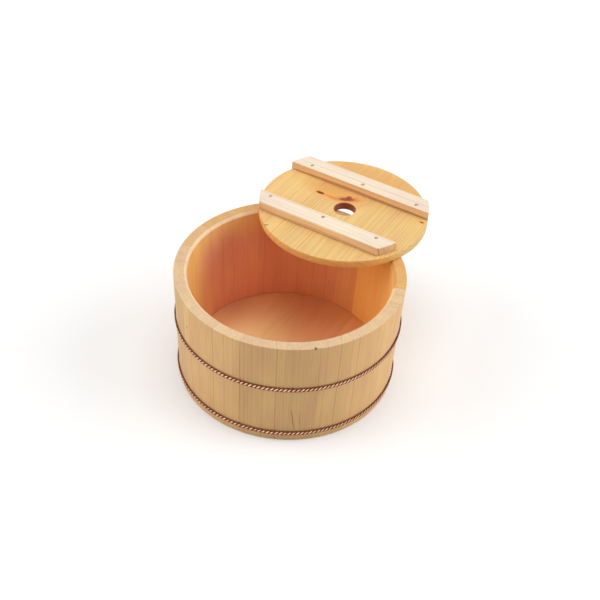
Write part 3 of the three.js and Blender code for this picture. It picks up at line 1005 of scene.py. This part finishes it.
# Painted shade: the floor darker where it meets the wall
FLOOR_WALL_SHADE = shown(212, 138, 98)
FLOOR_YEAR = 3.2 * MM
FLOOR_WANDER = 8 * MM
FLOOR_PITH = ((-60, 60), (50, 90))
FLOOR_PATCHES = (
    # right and back from the tub's axis, half sizes in mm, share, colour: painted light, painted shade by
    # the wall
    # Painted light: a pool on the floor's left
    (-70, 2, 32, 25, 1.0, FLOOR_LIGHT_POOL),
    # Painted shade by the wall at the left back
    (-116, 45, 18, 32, 0.75, FLOOR_WALL_SHADE),
)
BOTTOM_EASE = 0.5 * MM
BOTTOM_TONES = (0.1, 0.0, 0.0)


def bottom_finish():
    """Bare wood with soft patches of painted light and shade over it, each fading out from its middle."""
    material, graph = new_material("bottom wood")
    colour, height = bare_wood(graph, FLOOR_PAIR, FLOOR_YEAR, FLOOR_WANDER)
    for right, back, wide, long, share, stain in FLOOR_PATCHES:
        middle = (tub_axis[0] + right * MM, tub_axis[1] + back * MM, floor_high[2])
        patch = place_knot(graph, middle, (wide * MM, long * MM, wide * MM))
        # The patches paint a pool of light and a band of shade on the floor
        colour = graph.stain(colour, patch["Swell"], share, stain)
    planed_surface(graph, colour, height)
    return material


def make_bottom_board(node, tone, material):
    """A plank of the floor's circle, as thick as the frame's, from a log that runs from front to back."""
    outline, eases, drops = plank_outline(floor_radius, *plank_span(node, tub_axis), BOTTOM_EASE)
    mesh = mesh_of(node, placed(board_rings(outline, floor_low[2], floor_high[2], eases, drops), tub_axis))
    middle = np.array([*tub_axis, floor_high[2]])
    cut_from_log(mesh, middle, RIGHT, UP, BACK, pith_at(*FLOOR_PITH), tone)
    return set_piece(node, mesh, material)


bottom_wood = bottom_finish()
for board_node, board_tone in zip(BOTTOM_BOARDS, BOTTOM_TONES):
    make_bottom_board(board_node, board_tone, bottom_wood)
print("bottom boards:", len(BOTTOM_BOARDS))

# %% [markdown]
# ## Copper
# The hoops' wire is bare copper. Hands keep the crowns of the twist bright, and the rest turns brown and
# dull. The bright crowns are also a painted highlight, strongest where they face out and a little up. One
# colour with a rougher spot here and there would miss that. So the wire's mesh says how much each of its
# points is rubbed and gets the painted highlight, and the finish turns that into colour and gloss, with
# noise to break up the edge.

# %% Copper wire
CREVICE_COPPER = shown(124, 64, 40)
# Pale crown colour: worn copper, and a painted highlight
CROWN_AND_HIGHLIGHT_COPPER = shown(242, 204, 172)
CREVICE_ROUGHNESS = 0.5
CROWN_POLISH = 0.22
SPOT_SCALE = 260
SPOT_SHARE = 0.2
WORN_AND_LIT_EDGE = (0.95, 1.07)


def copper_finish():
    """Copper wire: bright on worn crowns and as a painted highlight where they face out and up, brown and
    dull elsewhere.
    """
    material, graph = new_material("copper wire")
    spots = graph.noise(graph.vector("wire"), SPOT_SCALE, FINE_DETAIL)
    worn_and_lit = graph.step(graph.math("MULTIPLY_ADD", spots, SPOT_SHARE, graph.mask("crown")), *WORN_AND_LIT_EDGE)
    # Painted highlight: crowns facing out and a little up get the pale colour, besides real wear
    colour = graph.blend(worn_and_lit, CREVICE_COPPER, CROWN_AND_HIGHLIGHT_COPPER)
    roughness = graph.math("MULTIPLY_ADD", worn_and_lit, -CROWN_POLISH, CREVICE_ROUGHNESS)
    graph.surface({"Base Color": colour, "Roughness": roughness, "Metallic": 1.0})
    return material


copper_wire = copper_finish()
print("finish:", copper_wire.name)

# %% [markdown]
# ## Hoops
# A hoop is one endless copper wire. It goes round the tub three times and winds about itself as it goes, a
# third of a turn more than a whole number, so that its end meets its start. A curve with a round bevel
# could make the tube, but it doesn't say which side of the wire faces out, and the wear and the painted
# highlight need that. So the path is worked out for all three rounds at once, and a circle is carried along
# it, square to the path. The twist is then pressed as flat as the frame's hoop, as if it had been hammered
# against the wall.

# %% Make the hoops
HOOPS = ("upper_hoop", "lower_hoop")
HOOP_BITE = 0.35 * MM
LAY_LENGTH = 16.5 * MM
STRANDS = 3
STEPS_PER_LAY = 14
WIRE_SIDES = 10
# The wire's middle is this many wire radii from the rope's middle, where its rounds just touch
STRAND_REACH = 1 / math.sin(math.pi / STRANDS)
# Painted highlight: crowns facing out, a little up, are paler. The bias says how much that side counts
HIGHLIGHT_TILT = 0.2
HIGHLIGHT_BIAS = 0.5


def hoop_size(node):
    """From the frame: a hoop's height, its rope's half height, its ring's radius, and its flatness."""
    low, high = box_of(node)
    rope = (high[2] - low[2]) / 2
    radius = np.hypot(*(corners_of(node)[:, :2] - tub_axis).T)
    ring = (radius.min() + radius.max()) / 2 - HOOP_BITE
    return (low[2] + high[2]) / 2, rope, ring, (radius.max() - radius.min()) / 2 / rope


def lay_wire(height, ring):
    """The rope's middle, the way out from the tub and the way from the rope's middle to the wire's, at
    every step of the wire's rounds. The last is at a lay angle, which turns back on the way round."""
    turns = round(2 * math.pi * ring / LAY_LENGTH) + 1 / STRANDS
    steps = round(turns * STRANDS) * STEPS_PER_LAY
    around = np.linspace(0, 2 * math.pi * STRANDS, steps, endpoint=False)
    lay = -around * turns
    outward = np.stack([np.cos(around), np.sin(around), np.zeros(steps)], axis=1)
    off_rope = np.sin(lay)[:, None] * outward + np.cos(lay)[:, None] * UP
    return np.array([*tub_axis, height]) + ring * outward, outward, off_rope


def rubbing_and_highlight(offset, outward):
    """How much a point is rubbed: its distance from the rope's middle, plus a painted highlight where it
    faces out and a little up.
    """
    highlight_side = (outward + HIGHLIGHT_TILT * UP) / math.hypot(1, HIGHLIGHT_TILT)
    facing = (offset * highlight_side[:, None]).sum(axis=-1)
    return (np.linalg.norm(offset, axis=-1) + HIGHLIGHT_BIAS * facing) / (1 + HIGHLIGHT_BIAS)


def make_hoop(node, material):
    """A circle carried along the wire's path. Its plane is square to the path: the path's direction comes
    from the points on both sides, and the way out from the rope is turned square to it. To press the rope
    flat, a share of each point's distance out from the rope's middle is taken off."""
    height, rope, ring, flatness = hoop_size(node)
    rope_middle, outward, off_rope = lay_wire(height, ring)
    wire = rope / (1 + STRAND_REACH)
    path = rope_middle + wire * STRAND_REACH * off_rope
    ahead = np.roll(path, -1, axis=0) - np.roll(path, 1, axis=0)
    ahead /= np.linalg.norm(ahead, axis=1, keepdims=True)
    out = off_rope - (off_rope * ahead).sum(axis=1, keepdims=True) * ahead
    out /= np.linalg.norm(out, axis=1, keepdims=True)
    aside = np.cross(out, ahead)
    angle = np.linspace(0, 2 * math.pi, WIRE_SIDES, endpoint=False)[None, :, None]
    rings = path[:, None] + wire * (np.cos(angle) * out[:, None] + np.sin(angle) * aside[:, None])
    offset = (rings - rope_middle[:, None]) / rope
    depth = (offset * outward[:, None]).sum(axis=-1, keepdims=True) * rope
    rings = rings - (1 - flatness) * depth * outward[:, None]
    mesh = mesh_of(node, rings, endless=True)
    # Real wear on the crowns, plus a painted highlight on the side that faces out and up
    note(mesh, "crown", rubbing_and_highlight(offset, outward).ravel())
    note(mesh, "wire", rings.reshape(-1, 3))
    return set_piece(node, mesh, material)


for hoop_node in HOOPS:
    hoop = make_hoop(hoop_node, copper_wire)
    print(hoop.name, len(hoop.data.polygons), "faces")

# %% [markdown]
# ## The drain board's wood
# This wood is yellower than the tub's. The middle plank has a branch through it: a dark spot, a resin
# streak, and a red knot right behind the hole. A picture of such a plank could be wrapped over it, but its
# grain would not go round the real hole. So each knot is placed by itself, in millimetres from the board's
# centre, as the photograph shows it, and its rings, halo and core come from the knot group.

# %% The drain board's wood
DRAIN_PAIR = (shown(228, 190, 125), shown(208, 154, 84))
DRAIN_END_PAIR = (shown(246, 192, 116), shown(230, 164, 90))
DRAIN_WARM = shown(220, 160, 84)
RESIN = shown(240, 168, 92)
KNOT_BROWN = shown(112, 48, 20)
KNOT_RED = shown(146, 54, 40)
KNOT_ORANGE = shown(208, 118, 50)
# Painted shade: the finger hole's wall is painted deep red
HOLE_SHADE_RED = shown(140, 54, 44)
HOLE_SHADE_SHARE = 0.85
DRAIN_YEAR = 3 * MM
DRAIN_WANDER = 10 * MM
DRAIN_ROUGHNESS = 0.42
BOARD_KNOTS = {
    # right and back from the board's centre, half sizes across, along and down in mm, turn in degrees
    "spot": (-44.7, 13.6, 8, 3.2, 30, -2),
    "streak": (-27, 13.4, 13, 2.6, 30, 0),
    "eye": (-6.5, 20.5, 13, 4.4, 30, 28),
    "peak": (-6, 25.5, 4.4, 5, 30, 0),
    "pin": (103, 32.3, 3.6, 1.7, 30, 0),
    # Painted shade: a dark spot for a nick in the board's edge
    "nick": (-66.8, -92.3, 4, 1.6, 4, 40),
    "glow": (-26, 26, 26, 9, 30, 0),
    "warm end": (10, 92, 50, 12, 30, 0),
}
RING_PUSHES = {"spot": 4 * MM, "eye": 8 * MM, "pin": 3 * MM}
HALOS = (
    ("glow", 0.7, DRAIN_WARM),
    ("warm end", 0.6, DRAIN_WARM),
    ("pin", 0.4, DRAIN_WARM),
    ("streak", 0.6, RESIN),
    ("spot", 0.45, RESIN),
    ("eye", 0.7, RESIN),
    ("peak", 0.5, RESIN),
)
BLUSH_FALL = 3.0
BLUSH_SHARE = 0.45
CORES = (
    ("streak", 0.65, KNOT_ORANGE),
    ("eye", 0.85, KNOT_RED),
    ("peak", 0.85, KNOT_RED),
    ("spot", 1.0, KNOT_BROWN),
    ("pin", 1.0, KNOT_BROWN),
    # Painted shade in the nick
    ("nick", 0.7, KNOT_BROWN),
)


def knot_on_board(graph, right, back, across, along, down, turn):
    """A knot in the drain board's top, by its place from the board's centre and its half sizes in mm."""
    middle = (board_centre[0] + right * MM, board_centre[1] + back * MM, board_high[2])
    return place_knot(graph, middle, (across * MM, along * MM, down * MM), turn)


def drain_finish():
    """Bare wood whose rings some knots push aside. Stains go over it in turn: the halos, a blush that is the
    eye's halo to the third power, the cores, and painted shade, deep red, on the wall of the hole."""
    material, graph = new_material("drain board wood")
    knots = {name: knot_on_board(graph, *sizes) for name, sizes in BOARD_KNOTS.items()}
    bend = 0.0
    for name, push in RING_PUSHES.items():
        bend = graph.math("MULTIPLY_ADD", knots[name]["Swell"], push, bend)
    faces = [(graph.mask("cut_end"), DRAIN_END_PAIR)]
    colour, height = bare_wood(graph, DRAIN_PAIR, DRAIN_YEAR, DRAIN_WANDER, faces, bend)
    for name, share, stain in HALOS:
        colour = graph.stain(colour, knots[name]["Halo"], share, stain)
    blush = graph.math("POWER", knots["eye"]["Halo"], BLUSH_FALL)
    colour = graph.stain(colour, blush, BLUSH_SHARE, KNOT_RED)
    for name, share, stain in CORES:
        colour = graph.stain(colour, knots[name]["Core"], share, stain)
    # Painted shade on the wall of the finger hole
    colour = graph.stain(colour, graph.mask("hole"), HOLE_SHADE_SHARE, HOLE_SHADE_RED)
    planed_surface(graph, colour, height, DRAIN_ROUGHNESS)
    return material


drain_wood = drain_finish()
print(drain_wood.name, "has", len(BOARD_KNOTS), "knots and stains")

# %% [markdown]
# ## Drain board
# Three planks with a finger hole in the middle one. A boolean could cut the hole, but it would leave thin
# slivers round it. Here the middle plank is an endless run of rings instead: down its outer side, up the
# wall of the hole, and across its top to the first ring again. For that each ring of the hole gets as many
# points as the plank's outline, and the plank's seams get more points, so that the faces between stay
# even.

# %% Make the drain planks
BOARD_EASE = 1.0 * MM
HOLE_EASE = 0.4 * MM
HOLE_SEAM_STEPS = 90
# Corners within this share of the board's radius are the hole's
HOLE_REACH = 0.25
DRAIN_TONES = (0.5, 0.0, 0.0)
DRAIN_PITH = ((-40, 40), (60, 90))
# How much further aside and behind the pith of an outer plank is
OUTER_PITH = (85 * MM, -25 * MM)


def finger_hole():
    """The hole's middle from the board's centre, and its radius, from the corners near that centre."""
    corners = corners_of("drain_plank_middle")[:, :2] - board_centre
    round_hole = corners[np.hypot(*corners.T) < board_radius * HOLE_REACH]
    low, high = round_hole.min(axis=0), round_hole.max(axis=0)
    return (low + high) / 2, (high - low).max() / 2


hole_middle, hole_radius = finger_hole()


def hole_rings(outline):
    """The finger hole as rings from the bottom face to the top face, with the point of each ring that lies
    in the same direction as each point of the plank's outline."""
    away = outline - hole_middle
    away /= np.linalg.norm(away, axis=1, keepdims=True)
    wider, level = (HOLE_EASE * share for share in quarter_round())
    radii = hole_radius + np.concatenate([wider, wider[::-1]])
    heights = np.concatenate([board_low[2] + level, board_high[2] - level[::-1]])
    sizes = zip(radii, heights)
    return np.stack([np.column_stack([hole_middle + away * r, np.full(len(away), z)]) for r, z in sizes])


def make_drain_plank(node, tone, material):
    """A plank of the board's circle, with the hole's rings after its own if it is the middle one. A face
    whose middle is within the hole's radius and half its ease of the hole's middle is on its wall."""
    holed = node.endswith("middle")
    left, right = plank_span(node, board_centre)
    steps = HOLE_SEAM_STEPS if holed else SEAM_STEPS
    outline, eases, drops = plank_outline(board_radius, left, right, BOARD_EASE, steps)
    rings = board_rings(outline, board_low[2], board_high[2], eases, drops)
    if holed:
        rings = np.concatenate([rings, hole_rings(outline)])
    mesh = mesh_of(node, placed(rings, board_centre), endless=holed)
    middle = np.array([*board_centre, board_high[2]]) + RIGHT * (left + right) / 2
    side = DRAIN_PLANKS.index(node) - 1
    aside, behind = pith_at(*DRAIN_PITH)
    pith = (aside + side * OUTER_PITH[0], behind + abs(side) * OUTER_PITH[1])
    cut_from_log(mesh, middle, RIGHT, UP, BACK, pith, tone)
    from_hole = np.hypot(*(rows_of(mesh.polygons, "center")[:, :2] - board_centre - hole_middle).T)
    note(mesh, "hole", from_hole < hole_radius + HOLE_EASE / 2, "FACE")
    return set_piece(node, mesh, material)


for plank_node, plank_tone in zip(DRAIN_PLANKS, DRAIN_TONES):
    make_drain_plank(plank_node, plank_tone, drain_wood)
print("drain planks:", len(DRAIN_PLANKS), "and a hole of", round(2 * hole_radius / MM, 1), "mm")

# %% [markdown]
# ## Nail steel
# The nails are plain grey steel, with a few brown spots of rust on their heads. Even grey would look new.
# Soft noise picks the spots, and makes them browner and duller, and finer noise gives the steel its
# scratches.

# %% Nail steel
NAIL_GREY = shown(200, 194, 184)
RUST_BROWN = shown(146, 122, 104)
RUST_SCALE = 280
RUST_EDGE = (0.4, 0.6)
NAIL_ROUGHNESS = 0.38
RUST_DULLING = 0.35
SCRATCH_SCALE = 1500
SCRATCH_DEPTH = 0.1 * MM


def nail_finish():
    """Grey drawn wire with a few brown spots of rust on the head, where noise is high."""
    material, graph = new_material("nail steel")
    where = graph.place()
    rust = graph.step(graph.noise(where, RUST_SCALE), *RUST_EDGE)
    colour = graph.blend(rust, NAIL_GREY, RUST_BROWN)
    dull = graph.math("MULTIPLY_ADD", rust, RUST_DULLING, NAIL_ROUGHNESS)
    scratches = {"Height": graph.noise(where, SCRATCH_SCALE), "Distance": SCRATCH_DEPTH}
    bump = graph.node("ShaderNodeBump", scratches)
    graph.surface({"Base Color": colour, "Roughness": dull, "Metallic": 1.0, "Normal": bump.outputs[0]})
    return material


nail_steel = nail_finish()
print("finish:", nail_steel.name)

# %% [markdown]
# ## Nails
# Plain wire nails hold the battens. A nail is a turned profile, which a screw modifier could turn as well,
# but a hammered head is never quite round. So the head's radius takes two soft waves on the way round,
# with a phase of its own for each nail.

# %% Make the nails
NAIL_NODES = sorted(name for name in nodes if name.startswith("nail_"))
NAIL_SIDES = 20
HEAD_HEIGHT = 1.2 * MM
HEAD_PROFILE = (
    # share of the head's radius, and share of its height from the top down
    (0.3, 0),
    (0.7, 0.1),
    (0.93, 0.35),
    (1, 0.65),
    (0.96, 1),
)
UNDER_HEAD = 1.1 * HEAD_HEIGHT
SHANK_SHARE = 0.48
POINT_LENGTH = 4 * MM
POINT_SHARE = 0.1
HEAD_WAVES = 0.05
THREE_WAVES_SHARE = 0.6
PHASE_STEP = 1.3


def turned(profile, middle, phase=0.0):
    """A profile of radius, height and waviness turned about an upright line, as rings from the top down.
    The radius swells and shrinks with two and three waves on the way round."""
    radius, height, wavy = np.array(profile).T[:, :, None]
    angle = np.linspace(0, 2 * math.pi, NAIL_SIDES, endpoint=False)[None]
    waves = np.cos(2 * angle + phase) + THREE_WAVES_SHARE * np.cos(3 * angle + 2 * phase)
    swelling = radius * (1 + wavy * waves)
    x, y = swelling * np.cos(angle), swelling * np.sin(angle)
    return np.stack([x + middle[0], y + middle[1], np.broadcast_to(height, x.shape)], axis=-1)


def nail_size(node):
    """A nail's middle, its head's radius, its top and its tip, from the frame."""
    low, high = box_of(node)
    return (low + high) / 2, (high[0] - low[0]) / 2, high[2], low[2]


def nail_rings(node, phase):
    """A wavy head over a straight shank, which tapers to a small flat tip."""
    middle, head, top, tip = nail_size(node)
    shank = head * SHANK_SHARE
    profile = [(share * head, top - depth * HEAD_HEIGHT, HEAD_WAVES) for share, depth in HEAD_PROFILE]
    profile += [(shank, top - UNDER_HEAD, 0), (shank, tip + POINT_LENGTH, 0), (POINT_SHARE * shank, tip, 0)]
    return turned(profile, middle, phase)


for number, nail_node in enumerate(NAIL_NODES):
    set_piece(nail_node, mesh_of(nail_node, nail_rings(nail_node, PHASE_STEP * number)), nail_steel)
print("nails:", len(NAIL_NODES))

# %% [markdown]
# ## Battens
# Two strips of whiter wood, cut off round to the board's edge. Their outline is two arcs joined by two
# long sides. The nails are driven a hair below the face. Their seats could be left out, but then face and
# nail would cross. So each seat is cut out with a boolean, by a turned cutter that is a little wider than
# the nail.

# %% Shape the battens
BATTEN_EASE = 0.8 * MM
SAWN_EASE = 0.3 * MM
SEAT_GAP = 0.06 * MM


def batten_outline(low, high):
    """An arc of the board's edge, moved in where a batten stops short, at the right and at the left, with
    the ease of each side and point."""
    edge = arc(board_radius, *(math.asin(y / board_radius) for y in (low[1], high[1])))
    edge -= (edge[:, 0].max(), 0)
    right = edge + (high[0], 0)
    left = (edge * (-1, 1) + (low[0], 0))[::-1]
    outline = np.concatenate([right, left])
    last_right, last_left = len(right) - 1, len(outline) - 1
    number = np.arange(len(outline))
    long_side = np.isin(number, (last_right, last_left))
    corner = np.isin(number, (0, last_right, last_right + 1, last_left))
    return outline, np.where(long_side, BATTEN_EASE, SAWN_EASE), np.where(corner, BATTEN_EASE, SAWN_EASE)


def seat_cutter(node):
    """The nail's hole, a little wider than the nail, as rings from above the batten's face down."""
    middle, head, top, tip = nail_size(node)
    shank = head * SHANK_SHARE + SEAT_GAP
    seat = head + SEAT_GAP
    under = top - UNDER_HEAD - SEAT_GAP
    return turned([
        (seat, top + HEAD_HEIGHT, 0),
        (seat, under, 0),
        (shank, under, 0),
        (shank, tip - SEAT_GAP, 0),
    ], middle)


def drilled(mesh, cutters):
    """The mesh with each cutter's rings taken out of it by a boolean."""
    solid = bpy.data.objects.new("undrilled", mesh)
    bpy.context.scene.collection.objects.link(solid)
    drills = []
    for number, rings in enumerate(cutters):
        drill = bpy.data.objects.new("drill", mesh_of("drill", rings))
        bpy.context.scene.collection.objects.link(drill)
        cut = solid.modifiers.new(f"drill {number}", "BOOLEAN")
        cut.operation = "DIFFERENCE"
        cut.object = drill
        drills.append(drill)
    shaped = solid.evaluated_get(bpy.context.evaluated_depsgraph_get())
    result = bpy.data.meshes.new_from_object(shaped)
    for spent in (solid, *drills):
        bpy.data.objects.remove(spent)
    return result


print("nail seats are", SEAT_GAP / MM, "mm wider than the nails")

# %% [markdown]
# ## The battens in place
# On the real board the battens are planed on top and sawn at their ends, so each of those faces has a
# colour of its own. Their long sides are darker and more orange, as painted shade and painted bounce light
# from the board. Three materials could be set on the faces. One finish that reads masks is less to keep in
# step.

# %% Make the battens
BATTENS = ("batten_front", "batten_back")
BATTEN_PAIR = (shown(240, 223, 200), shown(198, 168, 134))
# Painted shade and painted bounce light from the board on the battens' long sides
BATTEN_SIDE_SHADING_PAIR = (shown(248, 205, 154), shown(204, 146, 98))
BATTEN_END_PAIR = (shown(238, 194, 142), shown(196, 138, 96))
BATTEN_YEAR = 2.8 * MM
BATTEN_WANDER = 6 * MM
BATTEN_PITH = ((55, 85), (5, 35))
BATTEN_TONES = (0.1, 0.0)
SIDE_SLOPE = 0.6


def batten_finish():
    """Bare wood with other colours on the ends, and on the long sides as painted shade and bounce light."""
    material, graph = new_material("batten wood")
    # The long sides' colour is painted shade and bounce light
    faces = ((graph.mask("side"), BATTEN_SIDE_SHADING_PAIR), (graph.mask("cut_end"), BATTEN_END_PAIR))
    planed_surface(graph, *bare_wood(graph, BATTEN_PAIR, BATTEN_YEAR, BATTEN_WANDER, faces))
    return material


def make_batten(node, tone, material):
    """A board with the batten's outline, drilled for the nails whose names have the same row."""
    low, high = box_of(node)
    centre = np.array([*board_centre, 0])
    outline, eases, drops = batten_outline(low - centre, high - centre)
    whole = mesh_of(node, placed(board_rings(outline, low[2], high[2], eases, drops), board_centre))
    row = node.split("_")[1]
    mesh = drilled(whole, [seat_cutter(nail) for nail in NAIL_NODES if nail.split("_")[1] == row])
    cut_from_log(mesh, (low + high) / 2, BACK, UP, RIGHT, pith_at(*BATTEN_PITH), tone)
    note(mesh, "side", np.abs(rows_of(mesh.polygons, "normal") @ BACK) > SIDE_SLOPE, "FACE")
    return set_piece(node, mesh, material)


batten_wood = batten_finish()
for batten_node, batten_tone in zip(BATTENS, BATTEN_TONES):
    made = make_batten(batten_node, batten_tone, batten_wood)
    print(made.name, len(made.data.polygons), "faces")

# %% [markdown]
# ## Bamboo pegs
# The pegs that line up the staves and the bottom boards are hidden in their joints. They could be drawn
# again like the rest, but their shape in the frame is right. So they keep it and only get a finish: pale
# bamboo with fine dark fibres.

# %% Finish the pegs
BAMBOO_PALE = shown(222, 194, 128)
BAMBOO_DARK = shown(168, 130, 70)
BAMBOO_STRETCH = (1, 1, 3)
BAMBOO_SCALE = 1400
BAMBOO_EDGE = (0.45, 0.7)
BAMBOO_ROUGHNESS = 0.4
BAMBOO_DULLING = 0.2
BAMBOO_RIBS = {"Strength": 0.4, "Distance": 0.1 * MM}


def bamboo_finish():
    """Pale bamboo that turns dark where fine noise is high, with ribs of the same noise."""
    material, graph = new_material("bamboo")
    fibre = graph.noise(graph.stretch(graph.place(), BAMBOO_STRETCH), BAMBOO_SCALE, FINE_DETAIL)
    colour = graph.blend(graph.step(fibre, *BAMBOO_EDGE), BAMBOO_PALE, BAMBOO_DARK)
    ribs = graph.node("ShaderNodeBump", {"Height": fibre, **BAMBOO_RIBS})
    dull = graph.math("MULTIPLY_ADD", fibre, BAMBOO_DULLING, BAMBOO_ROUGHNESS)
    graph.surface({"Base Color": colour, "Roughness": dull, "Normal": ribs.outputs[0]})
    return material


bamboo = bamboo_finish()
pegs = [name for name in nodes if "_peg_" in name]
for peg in pegs:
    nodes[peg].material_slots[0].material = bamboo
print("pegs:", len(pegs))

# %% [markdown]
# ## Sizes
# A dressed part has to keep the size that its solids have. A look at the picture would not show a
# millimetre.
